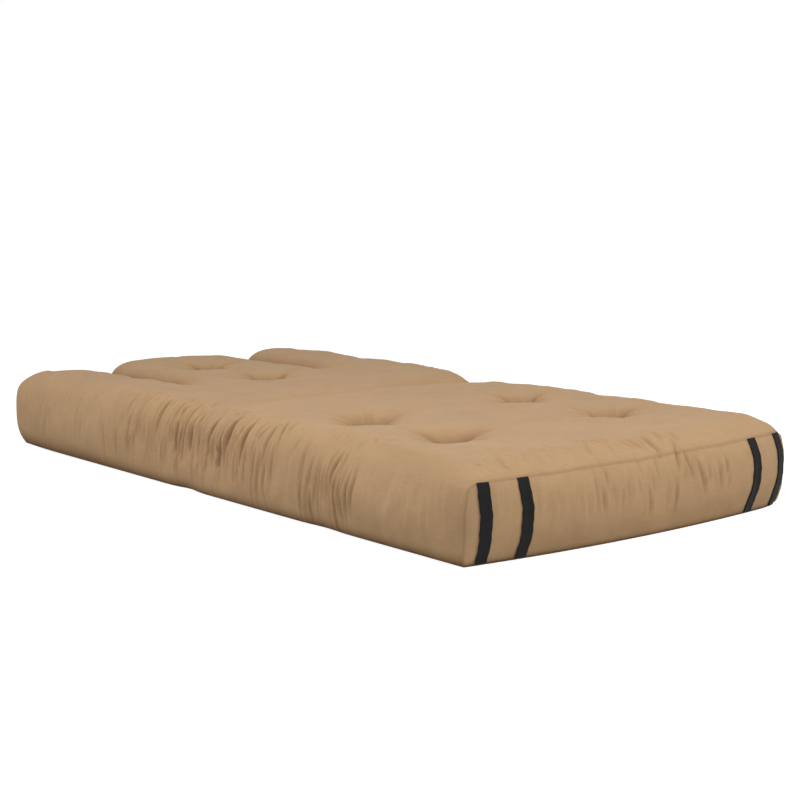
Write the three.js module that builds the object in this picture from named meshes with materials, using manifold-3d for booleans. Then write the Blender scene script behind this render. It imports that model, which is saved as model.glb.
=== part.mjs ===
// A tufted futon mattress that folds in half, with three flaps at its far end.
// Millimetres. +X runs along the mattress to the strap end, +Y across it, +Z up.
// The origin is on the floor, under the middle of the mattress.

import * as THREE from 'three';
import * as BufferGeometryUtils from 'three/addons/utils/BufferGeometryUtils.js';
import Module from 'manifold-3d';

const wasm = await Module();
wasm.setup();

// Driving dimensions: the whole mattress
const LENGTH = 2000; // side seams, end to end
const WIDTH = 890; // seam to seam across
const SEAM_HEIGHT = 166; // top seam above the floor
const CROWN_HEIGHT = 200; // fullest padding above the floor
const UNDER_SEAM_HEIGHT = 8; // lower seam above the floor
const SHOULDER = 90; // distance over which the top rolls up from its seam to the crown
const UNDER_ROLL = 30; // distance over which the underside rolls up to its seam
const STRAP_END_BOW = 30; // the strap end bows out this far at mid-width
const FLAP_BOW = 12; // and the end of each flap this far
const BOW_REACH = 200; // length over which a bow fades out
const WALL_BULGE = 12; // the side walls swell out this far at mid-height
const STRAP_END_BULGE = 22; // and the wall of the strap end this far
const CORNER_ROLL = 80; // distance over which that swelling grows from a corner
const TIP_CORNER = 45; // corner radius of a flap's end

// Driving dimensions: folds and slots, along X
const MID_FOLD = -25;
const FRONT_FOLD = 500;
const FLAP_FOLD = -440; // also the inner end of the slots
const FOLD_GAP = 0.5; // between two lengths that a fold parts
const SIDE_FLAP_WIDTH = 226;
const SLOT_GAP = 6;
const MID_CREASE = { fold: MID_FOLD, depth: 20, reach: 42, drawIn: 9 };
const FRONT_CREASE = { fold: FRONT_FOLD, depth: 8, reach: 60, drawIn: 5 };

// Driving dimensions: tufts and their twine
const TUFT_ROW_NEAR = 390; // rows lie this far each side of the middle fold
const TUFT_ROW_FAR = 695;
const TUFT_FROM_SIDE = 217; // in the front and the seat
const TUFT_DEPTH = 66;
const TUFT_REACH = 150;
const UNDER_TUFT_DEPTH = 14;
const UNDER_TUFT_REACH = 55;
const TWINE_RADIUS = 1.2;
const TWINE_BEND = 2.6;
const TWINE_SPAN = 12; // between the two legs of a loop
const NEEDLE_HOLE_RADIUS = 2.2;

// Driving dimensions: layers
const CLOTH = 2;
const GAP = 0.3; // between layers that touch
const FELT_EASE = 2; // between the felt's sides and the walls
const FOAM_LOW = 58;
const FOAM_HIGH = 104;
const FOAM_INSET = 14; // between the foam's sides and the walls

// Driving dimensions: webbing straps
const STRAP_WIDTH = 25;
const STRAP_THICKNESS = 1.6;
const STRAP_FROM_SIDE = 37; // outer centre line, in from the side seam
const STRAP_SPACING = 89; // between the centre lines of a pair

// How finely the soft forms are divided
const LINE_MIN = 14;
const STRAP_LINE_MIN = 4;
const LINE_MAX = 125;
const WALL_STEPS = 4;
const TUFT_RING_SHARES = [0, 0.19, 0.45, 0.8];
const SHOULDER_RING_SHARES = [0.2, 0.5, 1];
const CREASE_RING_SHARES = [0.55, 1.4];
const TUFT_POWER = 2.4; // how sharply a tuft draws in
const HOLE_SIDES = 6;
const TWINE_SIDES = 5;
const TWINE_BEND_STEPS = 2;
const CREASE_WALL_SHARE = 0.6; // of the wall's swelling that a crease takes away
const FOAM_END_SHARE = 0.5; // of the foam's inset that is kept at a fold

// Worked out from the driving dimensions
const HALF_WIDTH = WIDTH / 2;
const TUFT_SPREAD = HALF_WIDTH - TUFT_FROM_SIDE;
const STRAP_OUTER = HALF_WIDTH - STRAP_FROM_SIDE;
const STRAP_INNER = STRAP_OUTER - STRAP_SPACING;
const CENTRE_SHIFT = (STRAP_END_BOW - FLAP_BOW) / 2;
const STRAP_END = LENGTH / 2 - CENTRE_SHIFT;
const FAR_END = -LENGTH / 2 - CENTRE_SHIFT;
const CREASES = [MID_CREASE, FRONT_CREASE];
const SLOT_OUTER = HALF_WIDTH - SIDE_FLAP_WIDTH;
const SLOT_INNER = SLOT_OUTER - SLOT_GAP;
const SLOT_CENTRE = (SLOT_INNER + SLOT_OUTER) / 2;
const TOP_LIMIT = CROWN_HEIGHT * 2;

const TUFTS = [
  { name: 'front_left', section: 'front', x: MID_FOLD + TUFT_ROW_FAR, y: -TUFT_SPREAD },
  { name: 'front_right', section: 'front', x: MID_FOLD + TUFT_ROW_FAR, y: TUFT_SPREAD },
  { name: 'seat_left', section: 'seat', x: MID_FOLD + TUFT_ROW_NEAR, y: -TUFT_SPREAD },
  { name: 'seat_right', section: 'seat', x: MID_FOLD + TUFT_ROW_NEAR, y: TUFT_SPREAD },
  { name: 'back', section: 'back', x: MID_FOLD - TUFT_ROW_NEAR, y: 0 },
  { name: 'middle_flap', section: 'middle_flap', x: MID_FOLD - TUFT_ROW_FAR, y: 0 },
];

// The lengths that the folds and slots part. tip says that the low X end is a flap's free end.
const SECTIONS = [
  { name: 'front', x: [FRONT_FOLD, STRAP_END], y: [-HALF_WIDTH, HALF_WIDTH] },
  { name: 'seat', x: [MID_FOLD, FRONT_FOLD], y: [-HALF_WIDTH, HALF_WIDTH] },
  { name: 'back', x: [FLAP_FOLD, MID_FOLD], y: [-HALF_WIDTH, HALF_WIDTH] },
  { name: 'left_flap', x: [FAR_END, FLAP_FOLD], y: [-HALF_WIDTH, -SLOT_OUTER], tip: true },
  { name: 'middle_flap', x: [FAR_END, FLAP_FOLD], y: [-SLOT_INNER, SLOT_INNER], tip: true },
  { name: 'right_flap', x: [FAR_END, FLAP_FOLD], y: [SLOT_OUTER, HALF_WIDTH], tip: true },
];

// Materials
const casingCloth = new THREE.MeshStandardMaterial({ color: 0xb59170, roughness: 0.92, metalness: 0 });
const webbing = new THREE.MeshStandardMaterial({ color: 0x262627, roughness: 0.8, metalness: 0 });
const cottonFelt = new THREE.MeshStandardMaterial({ color: 0xe7e1d2, roughness: 1, metalness: 0 });
const foam = new THREE.MeshStandardMaterial({ color: 0xe9dfae, roughness: 0.95, metalness: 0 });
const twine = new THREE.MeshStandardMaterial({ color: 0xa08465, roughness: 0.9, metalness: 0 });

// Height above the shoulder's start, as a share: a quarter circle from 0 at the seam to 1
function roll(distance, reach) {
  const left = 1 - Math.min(Math.max(distance / reach, 0), 1);
  return Math.sqrt(1 - left * left);
}

function bell(distance, reach) {
  return Math.exp(-((distance / reach) ** 2));
}

// Distance from a plan point to the nearest seam: the outer edges and the two slots
function seamDistance(x, y) {
  const across = Math.abs(y);
  const pastSlotEnd = Math.max(x - FLAP_FOLD, 0);
  const fromSlot = Math.max(Math.abs(across - SLOT_CENTRE) - SLOT_GAP / 2, 0);
  return Math.min(
    HALF_WIDTH - across,
    STRAP_END - x,
    x - FAR_END,
    Math.hypot(pastSlotEnd, fromSlot),
  );
}

// Outside of the casing's top at a plan point
function topHeight(x, y) {
  const rise = roll(seamDistance(x, y), SHOULDER);
  let z = SEAM_HEIGHT + (CROWN_HEIGHT - SEAM_HEIGHT) * rise;
  for (const crease of CREASES) {
    z -= crease.depth * rise * bell(x - crease.fold, crease.reach);
  }
  for (const tuft of TUFTS) {
    const near = 1 - Math.hypot(x - tuft.x, y - tuft.y) / TUFT_REACH;
    if (near > 0) z -= TUFT_DEPTH * near ** TUFT_POWER;
  }
  return z;
}

// Outside of the casing's underside at a plan point
function underHeight(x, y) {
  const rise = 1 - roll(seamDistance(x, y), UNDER_ROLL);
  let z = UNDER_SEAM_HEIGHT * rise;
  for (const tuft of TUFTS) {
    const near = 1 - Math.hypot(x - tuft.x, y - tuft.y) / UNDER_TUFT_REACH;
    if (near > 0) z += UNDER_TUFT_DEPTH * near;
  }
  return z;
}

// Plan point of a section, rounded at a flap's corners, bowed at the ends and drawn in at the creases.
// inset is how far inside the section's outline the piece keeps.
function place(section, x, y, inset) {
  const [xLow] = section.x;
  const [yLow, yHigh] = section.y;
  const half = (yHigh - yLow) / 2;
  const across = (y - (yLow + yHigh) / 2) / half;
  const flat = 1 - Math.min(across * across, 1);
  if (section.tip) {
    const radius = TIP_CORNER - inset;
    const u = Math.max(xLow + TIP_CORNER - x, 0) / radius;
    const side = Math.sign(across);
    const centre = side > 0 ? yHigh - TIP_CORNER : yLow + TIP_CORNER;
    const v = Math.max((y - centre) * side, 0) / radius;
    const bowed = Math.max(xLow + BOW_REACH - x, 0) / BOW_REACH;
    const px = u > 0 ? xLow + TIP_CORNER - radius * u * Math.sqrt(1 - (v * v) / 2) : x;
    const py = v > 0 ? centre + side * radius * v * Math.sqrt(1 - (u * u) / 2) : y;
    return [px - FLAP_BOW * flat * bowed ** 2, py];
  }
  const bowed = Math.max(x - (STRAP_END - BOW_REACH), 0) / BOW_REACH;
  let tuck = 0;
  for (const crease of CREASES) tuck += crease.drawIn * bell(x - crease.fold, crease.reach);
  return [x + STRAP_END_BOW * flat * bowed ** 2, y - tuck * across ** 3];
}

// Grid lines between two ends: the marks that fit, then even steps where the space is wide
function gridLines([low, high], marks, closest = LINE_MIN) {
  const kept = [low, high];
  for (const mark of marks) {
    if (mark > low && mark < high && kept.every((line) => Math.abs(line - mark) >= closest)) {
      kept.push(mark);
    }
  }
  kept.sort((a, b) => a - b);
  const lines = [low];
  for (let i = 1; i < kept.length; i += 1) {
    const span = kept[i] - kept[i - 1];
    const steps = Math.ceil(span / LINE_MAX);
    for (let step = 1; step <= steps; step += 1) lines.push(kept[i - 1] + (span * step) / steps);
  }
  return lines;
}

// Marks at shares of a reach from a place, to one side or both
function ringMarks(centre, reach, shares, sides) {
  return shares.flatMap((share) => sides.map((side) => centre + side * share * reach));
}

function topLines(section) {
  const tufts = TUFTS.filter((tuft) => tuft.section === section.name);
  const tuftsX = tufts.flatMap((tuft) => ringMarks(tuft.x, TUFT_REACH, TUFT_RING_SHARES, [-1, 1]));
  const tuftsY = tufts.flatMap((tuft) => ringMarks(tuft.y, TUFT_REACH, TUFT_RING_SHARES, [-1, 1]));
  const creases = CREASES.flatMap(({ fold, reach }) => ringMarks(fold, reach, CREASE_RING_SHARES, [-1, 1]));
  const endsX = [
    ...ringMarks(STRAP_END, SHOULDER, SHOULDER_RING_SHARES, [-1]),
    ...ringMarks(FAR_END, SHOULDER, SHOULDER_RING_SHARES, [1]),
  ];
  const edgesY = [
    ...ringMarks(HALF_WIDTH, SHOULDER, SHOULDER_RING_SHARES, [-1]),
    ...ringMarks(-HALF_WIDTH, SHOULDER, SHOULDER_RING_SHARES, [1]),
  ];
  const slotsY = [
    ...ringMarks(SLOT_CENTRE, SHOULDER, SHOULDER_RING_SHARES, [-1, 1]),
    ...ringMarks(-SLOT_CENTRE, SHOULDER, SHOULDER_RING_SHARES, [-1, 1]),
  ];
  const slotted = section.tip || section.x[0] === FLAP_FOLD;
  const x = gridLines(section.x, [...tuftsX, ...endsX, ...creases]);
  const y = gridLines(section.y, [...edgesY, ...tuftsY, ...(slotted ? slotsY : [])]);
  return { x, y };
}

// Walls follow the creases and the ends, but not the tufts
function wallLines(section) {
  const rings = [1, -1].map((side) => ringMarks(0, SHOULDER, SHOULDER_RING_SHARES, [side]));
  const [inward, outward] = rings;
  const creases = CREASES.flatMap(({ fold, reach }) => ringMarks(fold, reach, CREASE_RING_SHARES, [-1, 1]));
  const endsX = [...outward.map((mark) => STRAP_END + mark), ...inward.map((mark) => FAR_END + mark)];
  const [low, high] = section.y;
  const endsY = [...inward.map((mark) => low + mark), ...outward.map((mark) => high + mark)];
  return { x: gridLines(section.x, [...endsX, ...creases]), y: gridLines(section.y, endsY) };
}

function underLines(section) {
  const tufts = TUFTS.filter((tuft) => tuft.section === section.name);
  const ringShares = [0, 1];
  const tuftsX = tufts.flatMap((tuft) => ringMarks(tuft.x, UNDER_TUFT_REACH, ringShares, [-1, 1]));
  const tuftsY = tufts.flatMap((tuft) => ringMarks(tuft.y, UNDER_TUFT_REACH, ringShares, [-1, 1]));
  const endsX = [STRAP_END - UNDER_ROLL, FAR_END + UNDER_ROLL];
  const edgesY = [UNDER_ROLL - HALF_WIDTH, HALF_WIDTH - UNDER_ROLL];
  const slotsY = [-1, 1].flatMap((side) => ringMarks(side * SLOT_CENTRE, UNDER_ROLL, ringShares, [-1, 1]));
  const x = gridLines(section.x, [...tuftsX, ...endsX, ...creaseLines()]);
  const y = gridLines(section.y, [...edgesY, ...tuftsY, ...(section.tip ? slotsY : [])]);
  return { x, y };
}

function creaseLines() {
  return CREASES.flatMap(({ fold, reach }) => [fold - reach, fold + reach]);
}

// Keeps a piece inside its section: by half the fold gap at a fold, by the inset at a seam
function insideOf(section, inset) {
  const foldInset = FOLD_GAP / 2;
  const [xLow, xHigh] = section.x;
  const [yLow, yHigh] = section.y;
  const low = xLow + (section.tip ? inset : foldInset);
  const high = xHigh - (section.name === 'front' ? inset : foldInset);
  return (x, y) => [
    Math.min(Math.max(x, low), high),
    Math.min(Math.max(y, yLow + inset), yHigh - inset),
  ];
}

// A geometry of the points that its triangles use
function geometryOf(points, triangles) {
  const corners = triangles.flat().flatMap((i) => points[i]);
  const geometry = new THREE.BufferGeometry();
  geometry.setAttribute('position', new THREE.Float32BufferAttribute(corners, 3));
  return BufferGeometryUtils.mergeVertices(geometry);
}

// The outline of a grid of points, counter-clockwise from above
function gridRim(rows, columns) {
  const at = (row, column) => row * columns + column;
  const rim = [];
  for (let row = 0; row + 1 < rows; row += 1) rim.push(at(row, 0));
  for (let column = 0; column + 1 < columns; column += 1) rim.push(at(rows - 1, column));
  for (let row = rows - 1; row > 0; row -= 1) rim.push(at(row, columns - 1));
  for (let column = columns - 1; column > 0; column -= 1) rim.push(at(0, column));
  return rim;
}

function gridTriangles(rows, columns) {
  const triangles = [];
  for (let row = 0; row + 1 < rows; row += 1) {
    for (let column = 0; column + 1 < columns; column += 1) {
      const a = row * columns + column;
      const [b, c, d] = [a + columns, a + columns + 1, a + 1];
      triangles.push([a, b, c], [a, c, d]);
    }
  }
  return triangles;
}

// A closed solid over a section's grid, between a lower and an upper surface. Each is a function of the
// plan place, or a number where the surface is flat. Heights are read at the full outline's grid points,
// so stacked pieces that share a grid stay parallel.
function layer(section, lines, inset, lower, upper) {
  const keep = insideOf(section, inset);
  const [rows, columns] = [lines.x.length, lines.y.length];
  const rim = gridRim(rows, columns);
  const points = [];
  const triangles = [];
  const rims = [lower, upper].map((surface, level) => {
    const start = points.length;
    const flat = typeof surface === 'number';
    for (const x of lines.x) {
      for (const y of lines.y) {
        const [px, py] = place(section, ...keep(x, y), inset);
        points.push([px, py, flat ? surface : surface(x, y)]);
      }
    }
    let faces = gridTriangles(rows, columns);
    if (flat) {
      const outline = rim.map((i) => new THREE.Vector2(...points[start + i]));
      faces = THREE.ShapeUtils.triangulateShape(outline, []).map((face) => face.map((i) => rim[i]));
    }
    for (const [a, b, c] of faces) {
      triangles.push(level === 0 ? [start + a, start + c, start + b] : [start + a, start + b, start + c]);
    }
    return rim.map((i) => start + i);
  });
  const [low, high] = rims;
  low.forEach((a, i) => {
    const next = (i + 1) % low.length;
    triangles.push([a, low[next], high[next]], [a, high[next], high[i]]);
  });
  return geometryOf(points, triangles);
}

// A wall of cloth along a plan path. Each stop of the path has a point and how far the wall swells out
// there, either along its own outward direction or square to the path, to the right of it.
function wall(stops) {
  const normals = stops.map((stop, i) => {
    if (stop.outward) return stop.outward;
    const before = stops[Math.max(i - 1, 0)].point;
    const after = stops[Math.min(i + 1, stops.length - 1)].point;
    const along = new THREE.Vector2(after[0] - before[0], after[1] - before[1]).normalize();
    return new THREE.Vector2(along.y, -along.x);
  });
  const points = [];
  for (const depth of [0, CLOTH]) {
    stops.forEach(({ point, swell }, i) => {
      for (let step = 0; step <= WALL_STEPS; step += 1) {
        const out = swell * wallSwell(step) - depth;
        const [x, y] = [point[0] + normals[i].x * out, point[1] + normals[i].y * out];
        points.push([x, y, wallHeight(step)]);
      }
    });
  }
  const columns = WALL_STEPS + 1;
  const inner = stops.length * columns;
  const triangles = [];
  for (let i = 0; i + 1 < stops.length; i += 1) {
    for (let step = 0; step < WALL_STEPS; step += 1) {
      const a = i * columns + step;
      const [b, c, d] = [a + columns, a + columns + 1, a + 1];
      triangles.push([a, b, c], [a, c, d]);
      triangles.push([a + inner, c + inner, b + inner], [a + inner, d + inner, c + inner]);
    }
    const [low, lowNext] = [i * columns, (i + 1) * columns];
    const [high, highNext] = [low + WALL_STEPS, lowNext + WALL_STEPS];
    triangles.push([low, low + inner, lowNext + inner], [low, lowNext + inner, lowNext]);
    triangles.push([high, highNext, highNext + inner], [high, highNext + inner, high + inner]);
  }
  const last = (stops.length - 1) * columns;
  for (let step = 0; step < WALL_STEPS; step += 1) {
    const [a, b] = [step, step + 1];
    triangles.push([a, b, b + inner], [a, b + inner, a + inner]);
    const [c, d] = [last + step, last + step + 1];
    triangles.push([c, d + inner, d], [c, c + inner, d + inner]);
  }
  return geometryOf(points, triangles);
}

// A wall stands between the bottom panel's edge and the top panel's
function wallHeight(step) {
  const low = UNDER_SEAM_HEIGHT + CLOTH + GAP;
  const high = SEAM_HEIGHT - CLOTH - GAP;
  return low + ((high - low) * step) / WALL_STEPS;
}

// The share of its swelling that a wall has at a step of its height
function wallSwell(step) {
  const fromMiddle = (2 * step) / WALL_STEPS - 1;
  return 1 - fromMiddle * fromMiddle;
}

function sideWall(section, lines, side) {
  const keep = insideOf(section, 0);
  const xs = side < 0 ? lines.x : lines.x.toReversed();
  const outward = new THREE.Vector2(0, side);
  return wall(xs.map((x) => {
    const [keptX] = keep(x, side * HALF_WIDTH);
    let swell = WALL_BULGE * roll(STRAP_END - x, CORNER_ROLL);
    for (const crease of CREASES) swell *= 1 - CREASE_WALL_SHARE * bell(x - crease.fold, crease.reach);
    return { point: place(section, keptX, side * HALF_WIDTH, 0), swell, outward };
  }));
}

function strapEndSwell(y) {
  return STRAP_END_BULGE * roll(HALF_WIDTH - Math.abs(y), CORNER_ROLL);
}

function strapEndLines(section) {
  const reach = STRAP_WIDTH / 2;
  const centres = [-STRAP_OUTER, -STRAP_INNER, STRAP_INNER, STRAP_OUTER];
  const edges = centres.flatMap((centre) => [centre - reach, centre + reach]);
  const rings = [-1, 1].flatMap((side) => {
    return ringMarks(side * HALF_WIDTH, SHOULDER, SHOULDER_RING_SHARES, [-side]);
  });
  const inset = CLOTH + GAP;
  const [low, high] = section.y;
  return gridLines([low + inset, high - inset], [...edges, ...rings], STRAP_LINE_MIN);
}

function strapEndWall(section, lines) {
  const outward = new THREE.Vector2(1, 0);
  return wall(lines.map((y) => {
    return { point: place(section, STRAP_END, y, 0), swell: strapEndSwell(y), outward };
  }));
}

// Round a flap, from the inner end of its far side, round its tip, to the inner end of its near side
function flapWall(section, lines) {
  const keep = insideOf(section, 0);
  const [yLow, yHigh] = section.y;
  const middle = (yLow + yHigh) / 2;
  const corners = [
    ...lines.x.toReversed().map((x) => [x, yHigh]),
    ...lines.y.toReversed().slice(1).map((y) => [FAR_END, y]),
    ...lines.x.slice(1).map((x) => [x, yLow]),
  ];
  return wall(corners.map(([x, y]) => {
    const [keptX, keptY] = keep(x, y);
    const fromSlots = Math.abs(Math.abs(y) - SLOT_CENTRE) - SLOT_GAP / 2;
    const swell = WALL_BULGE * roll(fromSlots, CORNER_ROLL);
    const outward = x > FAR_END + TIP_CORNER ? new THREE.Vector2(0, Math.sign(y - middle)) : null;
    return { point: place(section, keptX, keptY, 0), swell, outward };
  }));
}

// A plain block of foam, square to the frame
function foamBlock(section) {
  const seamInset = CLOTH + FOAM_INSET;
  const foldInset = FOAM_INSET * FOAM_END_SHARE;
  const low = section.x[0] + (section.tip ? seamInset : foldInset);
  const high = section.x[1] - (section.name === 'front' ? seamInset : foldInset);
  const near = section.y[0] + seamInset;
  const far = section.y[1] - seamInset;
  const depth = FOAM_HIGH - FOAM_LOW;
  const geometry = new THREE.BoxGeometry(high - low, far - near, depth);
  return geometry.translate((low + high) / 2, (near + far) / 2, (FOAM_LOW + FOAM_HIGH) / 2);
}

// Webbing up the strap end, from the bottom seam to the top one, lying on the wall. lines are the wall's
// own, and its edges are among them, so the two stay parallel.
function strap(section, lines, centre) {
  const rows = [{ z: UNDER_SEAM_HEIGHT, share: 0 }];
  for (let step = 0; step <= WALL_STEPS; step += 1) {
    rows.push({ z: wallHeight(step), share: wallSwell(step) });
  }
  rows.push({ z: SEAM_HEIGHT, share: 0 });
  const reach = STRAP_WIDTH / 2 + GAP;
  const ys = lines.filter((y) => Math.abs(y - centre) < reach);
  const points = [];
  for (const lift of [GAP, GAP + STRAP_THICKNESS]) {
    for (const { z, share } of rows) {
      for (const y of ys) {
        const [px, py] = place(section, STRAP_END, y, 0);
        points.push([px + strapEndSwell(y) * share + lift, py, z]);
      }
    }
  }
  const outer = rows.length * ys.length;
  const at = (row, column) => row * ys.length + column;
  const triangles = [];
  const quad = (a, b, c, d) => triangles.push([a, b, c], [a, c, d]);
  for (let row = 0; row + 1 < rows.length; row += 1) {
    for (let column = 0; column + 1 < ys.length; column += 1) {
      const [a, b] = [at(row, column), at(row, column + 1)];
      const [c, d] = [at(row + 1, column + 1), at(row + 1, column)];
      triangles.push([a, c, b], [a, d, c]);
      quad(a + outer, b + outer, c + outer, d + outer);
    }
    const last = ys.length - 1;
    const [low, lowNext] = [at(row, 0), at(row + 1, 0)];
    const [high, highNext] = [at(row, last), at(row + 1, last)];
    quad(low, low + outer, lowNext + outer, lowNext);
    quad(high, highNext, highNext + outer, high + outer);
  }
  for (let column = 0; column + 1 < ys.length; column += 1) {
    const [a, b] = [at(0, column), at(0, column + 1)];
    const [c, d] = [at(rows.length - 1, column), at(rows.length - 1, column + 1)];
    quad(a, b, b + outer, a + outer);
    quad(c, c + outer, d + outer, d);
  }
  return geometryOf(points, triangles);
}

// A closed loop of twine: two legs through the padding, a stitch on top and one underneath
function twineLoop(tuft) {
  const reach = TWINE_SPAN / 2;
  const lift = TWINE_RADIUS + GAP;
  const high = Math.max(topHeight(tuft.x - reach, tuft.y), topHeight(tuft.x + reach, tuft.y)) + lift;
  const low = underHeight(tuft.x + reach, tuft.y) - lift;
  const bends = [
    [reach - TWINE_BEND, high - TWINE_BEND, 0],
    [TWINE_BEND - reach, high - TWINE_BEND, 1],
    [TWINE_BEND - reach, low + TWINE_BEND, 2],
    [reach - TWINE_BEND, low + TWINE_BEND, 3],
  ];
  const points = [];
  const quarter = Math.PI / 2;
  for (const [x, z, turn] of bends) {
    for (let step = 0; step <= TWINE_BEND_STEPS; step += 1) {
      const angle = quarter * (turn + step / TWINE_BEND_STEPS);
      for (let side = 0; side < TWINE_SIDES; side += 1) {
        const round = (2 * Math.PI * side) / TWINE_SIDES;
        const out = TWINE_BEND + TWINE_RADIUS * Math.cos(round);
        points.push([
          tuft.x + x + out * Math.cos(angle),
          tuft.y + TWINE_RADIUS * Math.sin(round),
          z + out * Math.sin(angle),
        ]);
      }
    }
  }
  const rings = points.length / TWINE_SIDES;
  const triangles = [];
  for (let ring = 0; ring < rings; ring += 1) {
    for (let side = 0; side < TWINE_SIDES; side += 1) {
      const next = ((ring + 1) % rings) * TWINE_SIDES;
      const beside = (side + 1) % TWINE_SIDES;
      const [a, b] = [ring * TWINE_SIDES + side, ring * TWINE_SIDES + beside];
      const [c, d] = [next + beside, next + side];
      triangles.push([a, b, c], [a, c, d]);
    }
  }
  return geometryOf(points, triangles);
}

function solidOf(geometry) {
  const bare = geometry.clone();
  for (const name of Object.keys(bare.attributes)) {
    if (name !== 'position') bare.deleteAttribute(name);
  }
  const merged = BufferGeometryUtils.mergeVertices(bare);
  return new wasm.Manifold(new wasm.Mesh({
    numProp: 3,
    vertProperties: merged.attributes.position.array,
    triVerts: new Uint32Array(merged.index.array),
  }));
}

function geometryFrom(solid) {
  const mesh = solid.getMesh();
  const geometry = new THREE.BufferGeometry();
  geometry.setAttribute('position', new THREE.BufferAttribute(mesh.vertProperties, 3));
  geometry.setIndex(new THREE.BufferAttribute(mesh.triVerts, 1));
  return geometry;
}

// Two needle holes at each of the section's tufts
function withNeedleHoles(section, geometry) {
  const tufts = TUFTS.filter((tuft) => tuft.section === section.name);
  if (tufts.length === 0) return geometry;
  let solid = solidOf(geometry);
  for (const tuft of tufts) {
    for (const side of [-1, 1]) {
      const needle = new THREE.CylinderGeometry(
        NEEDLE_HOLE_RADIUS,
        NEEDLE_HOLE_RADIUS,
        TOP_LIMIT,
        HOLE_SIDES,
      );
      needle.rotateX(Math.PI / 2);
      needle.translate(tuft.x + (side * TWINE_SPAN) / 2, tuft.y, 0);
      solid = solid.subtract(solidOf(needle));
    }
  }
  return geometryFrom(solid);
}

const mattress = new THREE.Group();
mattress.name = 'futon_mattress';

function add(name, geometry, material) {
  const mesh = new THREE.Mesh(geometry, material);
  mesh.name = name;
  mattress.add(mesh);
}

for (const section of SECTIONS) {
  const { name } = section;
  const top = topLines(section);
  const under = underLines(section);
  const inner = CLOTH + GAP;
  const side = CLOTH + FELT_EASE;
  const underTop = (x, y) => underHeight(x, y) + CLOTH;
  const beneathTop = (x, y) => topHeight(x, y) - CLOTH;
  const feltTop = (x, y) => topHeight(x, y) - inner;
  const feltUnder = (x, y) => underHeight(x, y) + inner;
  const layers = [
    ['top_panel', layer(section, top, 0, beneathTop, topHeight), casingCloth],
    ['upper_felt', layer(section, top, side, FOAM_HIGH + GAP, feltTop), cottonFelt],
    ['foam_core', foamBlock(section), foam],
    ['lower_felt', layer(section, under, side, feltUnder, FOAM_LOW - GAP), cottonFelt],
    ['bottom_panel', layer(section, under, 0, underHeight, underTop), casingCloth],
  ];
  for (const [piece, geometry, material] of layers) {
    add(`${name}_${piece}`, withNeedleHoles(section, geometry), material);
  }
  const round = wallLines(section);
  if (section.tip) {
    add(`${name}_wall`, flapWall(section, round), casingCloth);
  } else {
    add(`${name}_left_wall`, sideWall(section, round, -1), casingCloth);
    add(`${name}_right_wall`, sideWall(section, round, 1), casingCloth);
  }
  if (name === 'front') {
    const lines = strapEndLines(section);
    add('strap_end_wall', strapEndWall(section, lines), casingCloth);
    for (const [side, sign] of [['left', -1], ['right', 1]]) {
      add(`strap_${side}_outer`, strap(section, lines, sign * STRAP_OUTER), webbing);
      add(`strap_${side}_inner`, strap(section, lines, sign * STRAP_INNER), webbing);
    }
  }
}

for (const tuft of TUFTS) add(`tuft_twine_${tuft.name}`, twineLoop(tuft), twine);

export default mattress;
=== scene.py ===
# %% [markdown]
# # A tufted futon mattress
# The real thing is a cotton sack, stuffed with foam and felt and drawn in by six tufts of twine. Its far
# end is slit into three flaps, and its near end has four black straps. The CAD frame has every piece in its
# place, so this lesson only dresses it: each casing piece stands for the solids of its length.

# %% Load the frame
import math

import bmesh
import bpy
import numpy as np
from mathutils import Matrix, Vector
from mathutils.bvhtree import BVHTree


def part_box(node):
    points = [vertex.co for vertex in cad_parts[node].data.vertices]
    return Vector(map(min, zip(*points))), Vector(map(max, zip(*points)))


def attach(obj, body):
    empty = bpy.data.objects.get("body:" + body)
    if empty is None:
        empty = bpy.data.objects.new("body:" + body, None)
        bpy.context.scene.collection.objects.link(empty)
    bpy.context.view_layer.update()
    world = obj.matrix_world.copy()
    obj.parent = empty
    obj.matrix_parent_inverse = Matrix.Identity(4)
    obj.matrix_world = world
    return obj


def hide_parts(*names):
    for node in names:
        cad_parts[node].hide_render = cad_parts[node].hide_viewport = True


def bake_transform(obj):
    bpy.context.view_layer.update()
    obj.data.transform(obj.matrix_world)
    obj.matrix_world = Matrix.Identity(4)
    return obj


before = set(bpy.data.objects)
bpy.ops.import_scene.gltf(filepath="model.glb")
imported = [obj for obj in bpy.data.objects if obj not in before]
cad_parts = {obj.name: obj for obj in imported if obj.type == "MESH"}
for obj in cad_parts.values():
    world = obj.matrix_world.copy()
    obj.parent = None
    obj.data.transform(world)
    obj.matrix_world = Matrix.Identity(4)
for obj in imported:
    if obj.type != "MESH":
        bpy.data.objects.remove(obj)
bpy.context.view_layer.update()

# %% [markdown]
# ## The mattress's measurements
# All lengths are in metres, in the frame's own axes: X runs from the flaps to the straps, left is negative
# Y, and the floor is at Z = 0. The same numbers shaped the solids, so that both agree.

# %% Measurements
HALF = 0.445  # half the width between the side seams
STRAP_END, FAR_END = 0.991, -1.009
CROWN = 0.2  # the flat of the top
SEAM = 0.166  # where the strap end's wall meets the top
UNDER_SEAM = 0.003  # and where it meets the bottom
SLOT, SLOT_END, SLOT_GAP = 0.216, -0.44, 0.006  # the slots' place, inner end and width
TUFTS = {
    "front_left": (0.670, -0.228),
    "front_right": (0.670, 0.228),
    "seat_left": (0.365, -0.228),
    "seat_right": (0.365, 0.228),
    "back": (-0.415, 0.0),
    "middle_flap": (-0.720, 0.0),
}
MID_FOLD, FRONT_FOLD = -0.025, 0.5
SEAT_CUT, BACK_CUT = 0.25, -0.225  # where one casing piece ends and the next begins

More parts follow.
